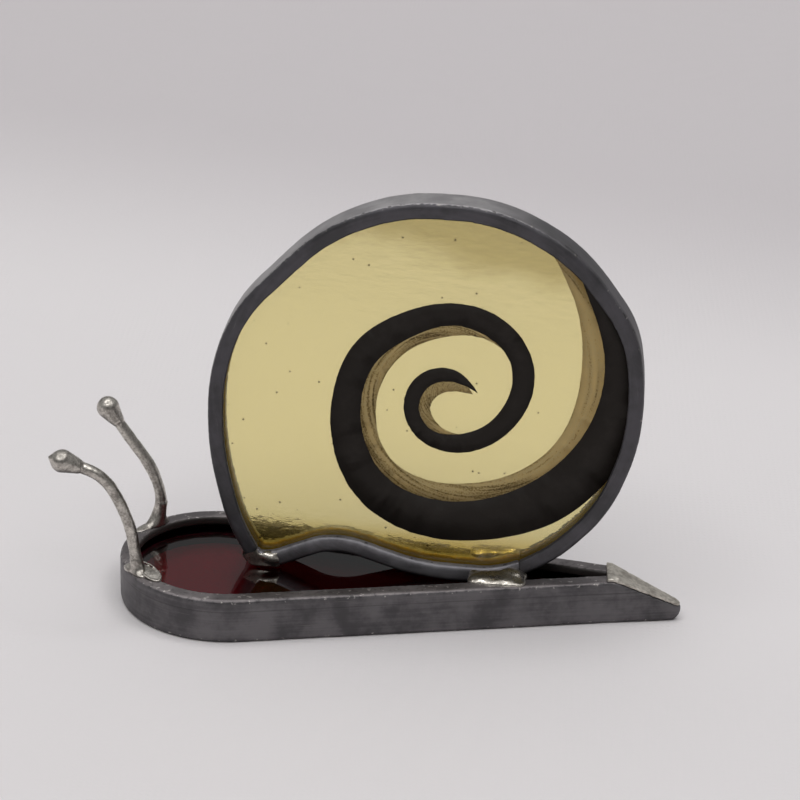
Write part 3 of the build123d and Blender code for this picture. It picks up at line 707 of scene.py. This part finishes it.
def brownPaint(look):
    material, tree = startMaterial("brownShading")
    place = objectPlace(tree, shellMiddle, shellTurn)
    # Brush streaks follow the spiral: its turn angle is one coordinate, the distance from it the other
    spot = addNode(tree, "VectorMath", {"operation": "SUBTRACT"}, {0: place, 1: look["spiralMiddle"]})
    spot = addNode(tree, "VectorMath", {"operation": "MULTIPLY"}, {0: spot, 1: (1, 0, 1)})
    axes = addNode(tree, "SeparateXYZ", {}, {0: spot})
    radius = addNode(tree, "VectorMath", {"operation": "LENGTH"}, {0: spot})
    size = addNode(tree, "Math", {"operation": "LOGARITHM"}, {0: radius, 1: math.e})
    angle = addNode(tree, "Math", {"operation": "ARCTAN2"}, {0: axes.outputs[2], 1: axes.outputs[0]})
    grown = addNode(tree, "Math", {"operation": "MULTIPLY"}, {0: angle, 1: look["growth"]})
    off = addNode(tree, "Math", {"operation": "SUBTRACT"}, {0: size, 1: grown})
    off = addNode(tree, "Math", {"operation": "SUBTRACT"}, {0: off, 1: look["start"]})
    lap = look["growth"] * 2 * math.pi
    laps = addNode(tree, "Math", {"operation": "DIVIDE"}, {0: off, 1: lap})
    laps = addNode(tree, "Math", {"operation": "ROUND"}, {0: laps})
    across = addNode(tree, "Math", {"operation": "MULTIPLY_ADD"}, {0: laps, 1: -lap, 2: off})
    along = addNode(tree, "Math", {"operation": "MULTIPLY_ADD"}, {0: laps, 1: 2 * math.pi, 2: angle})
    across = addNode(tree, "Math", {"operation": "DIVIDE"}, {0: across, 1: look["streakAcross"]})
    along = addNode(tree, "Math", {"operation": "DIVIDE"}, {0: along, 1: look["streakAlong"]})
    streakPlace = addNode(tree, "CombineXYZ", {}, {0: along, 1: across})
    streaks = addNode(tree, "TexNoise", {}, {"Vector": streakPlace, "Scale": 1, "Detail": 4, "Roughness": 0.6})
    speckle = addNode(tree, "TexNoise", {}, {"Vector": place, "Scale": 1 / look["speckle"], "Detail": 3,
                                             "Roughness": 0.7})
    blotches = addNode(tree, "TexNoise", {}, {"Vector": place, "Scale": look["blotchesPerMm"], "Detail": 3})
    tone = addNode(tree, "Math", {"operation": "MULTIPLY"}, {0: streaks, 1: look["streaks"]})
    tone = addNode(tree, "Math", {"operation": "MULTIPLY_ADD"}, {0: blotches, 1: look["blotches"], 2: tone})
    tone = addNode(tree, "Math", {"operation": "MULTIPLY_ADD"}, {0: speckle, 1: look["speckles"], 2: tone})
    sideways = addNode(tree, "SeparateXYZ", {}, {0: place})
    thin = addNode(tree, "MapRange", smoothStep,
                   {0: sideways, 1: look["thinFrom"], 2: look["thinTo"], 4: look["thinLift"]})
    tone = addNode(tree, "Math", {"operation": "ADD"}, {0: tone, 1: thin})
    share = addNode(tree, "MapRange", {}, {0: tone, 1: look["lightAt"][0], 2: look["lightAt"][1]})
    colour = addNode(tree, "Mix", ofColours, {0: share, 6: linear(look["colour"]), 7: linear(look["light"])})
    dark = addNode(tree, "MapRange", {}, {0: tone, 1: look["darkAt"][0], 2: look["darkAt"][1]})
    colour = addNode(tree, "Mix", ofColours, {0: dark, 6: colour, 7: linear(look["dark"])})
    shader = addNode(tree, "BsdfPrincipled", {}, {"Base Color": colour, "Roughness": 0.65,
                                                  "Specular IOR Level": 0.25})
    clear = addNode(tree, "BsdfTransparent", {}, {"Color": linear(look["clear"])})
    cover = addNode(tree, "MapRange", {},
                    {0: tone, 1: look["coverAt"][0], 2: look["coverAt"][1], 3: 1.0, 4: look["leastCover"]})
    surface = addNode(tree, "MixShader", {}, {0: cover, 1: clear, 2: shader})
    addNode(tree, "OutputMaterial", {}, {"Surface": surface})
    return material


def buildGlass():
    dressNode("foot_glass", glassMaterial("rubyGlass", rubyLook))
    dressNode("shell_glass", glassMaterial("amberAntiqueGlass", amberLook))
    for node, name, slot, material in (
            ("spiral_black_paint", "spiralBlackPaint", "black_glass_paint", blackPaint(blackLook)),
            ("spiral_brown_paint", "spiralBrownPaint", "brown_glass_paint", brownPaint(brownLook))):
        coat = copyNode(node, name)
        for direction in ("X", "Z"):
            modify(coat, "DISPLACE", texture=unevenness("nicks" + direction, paintNicks["size"]),
                   texture_coords="GLOBAL", direction=direction, strength=paintNicks["depth"] * mm, mid_level=0.5)
        finishPiece(coat, [node], material)


bpy.context.scene.view_settings.view_transform = "Standard"
buildCamera(cameraPlace)
buildFloor(floorLook)
buildTent(tentLook)
print("camera, floor and light are in place")
buildLead()
print("lead strips are in place")
buildSolder()
print("solder and antennae are in place")
buildGlass()
print("glass and paint are in place")
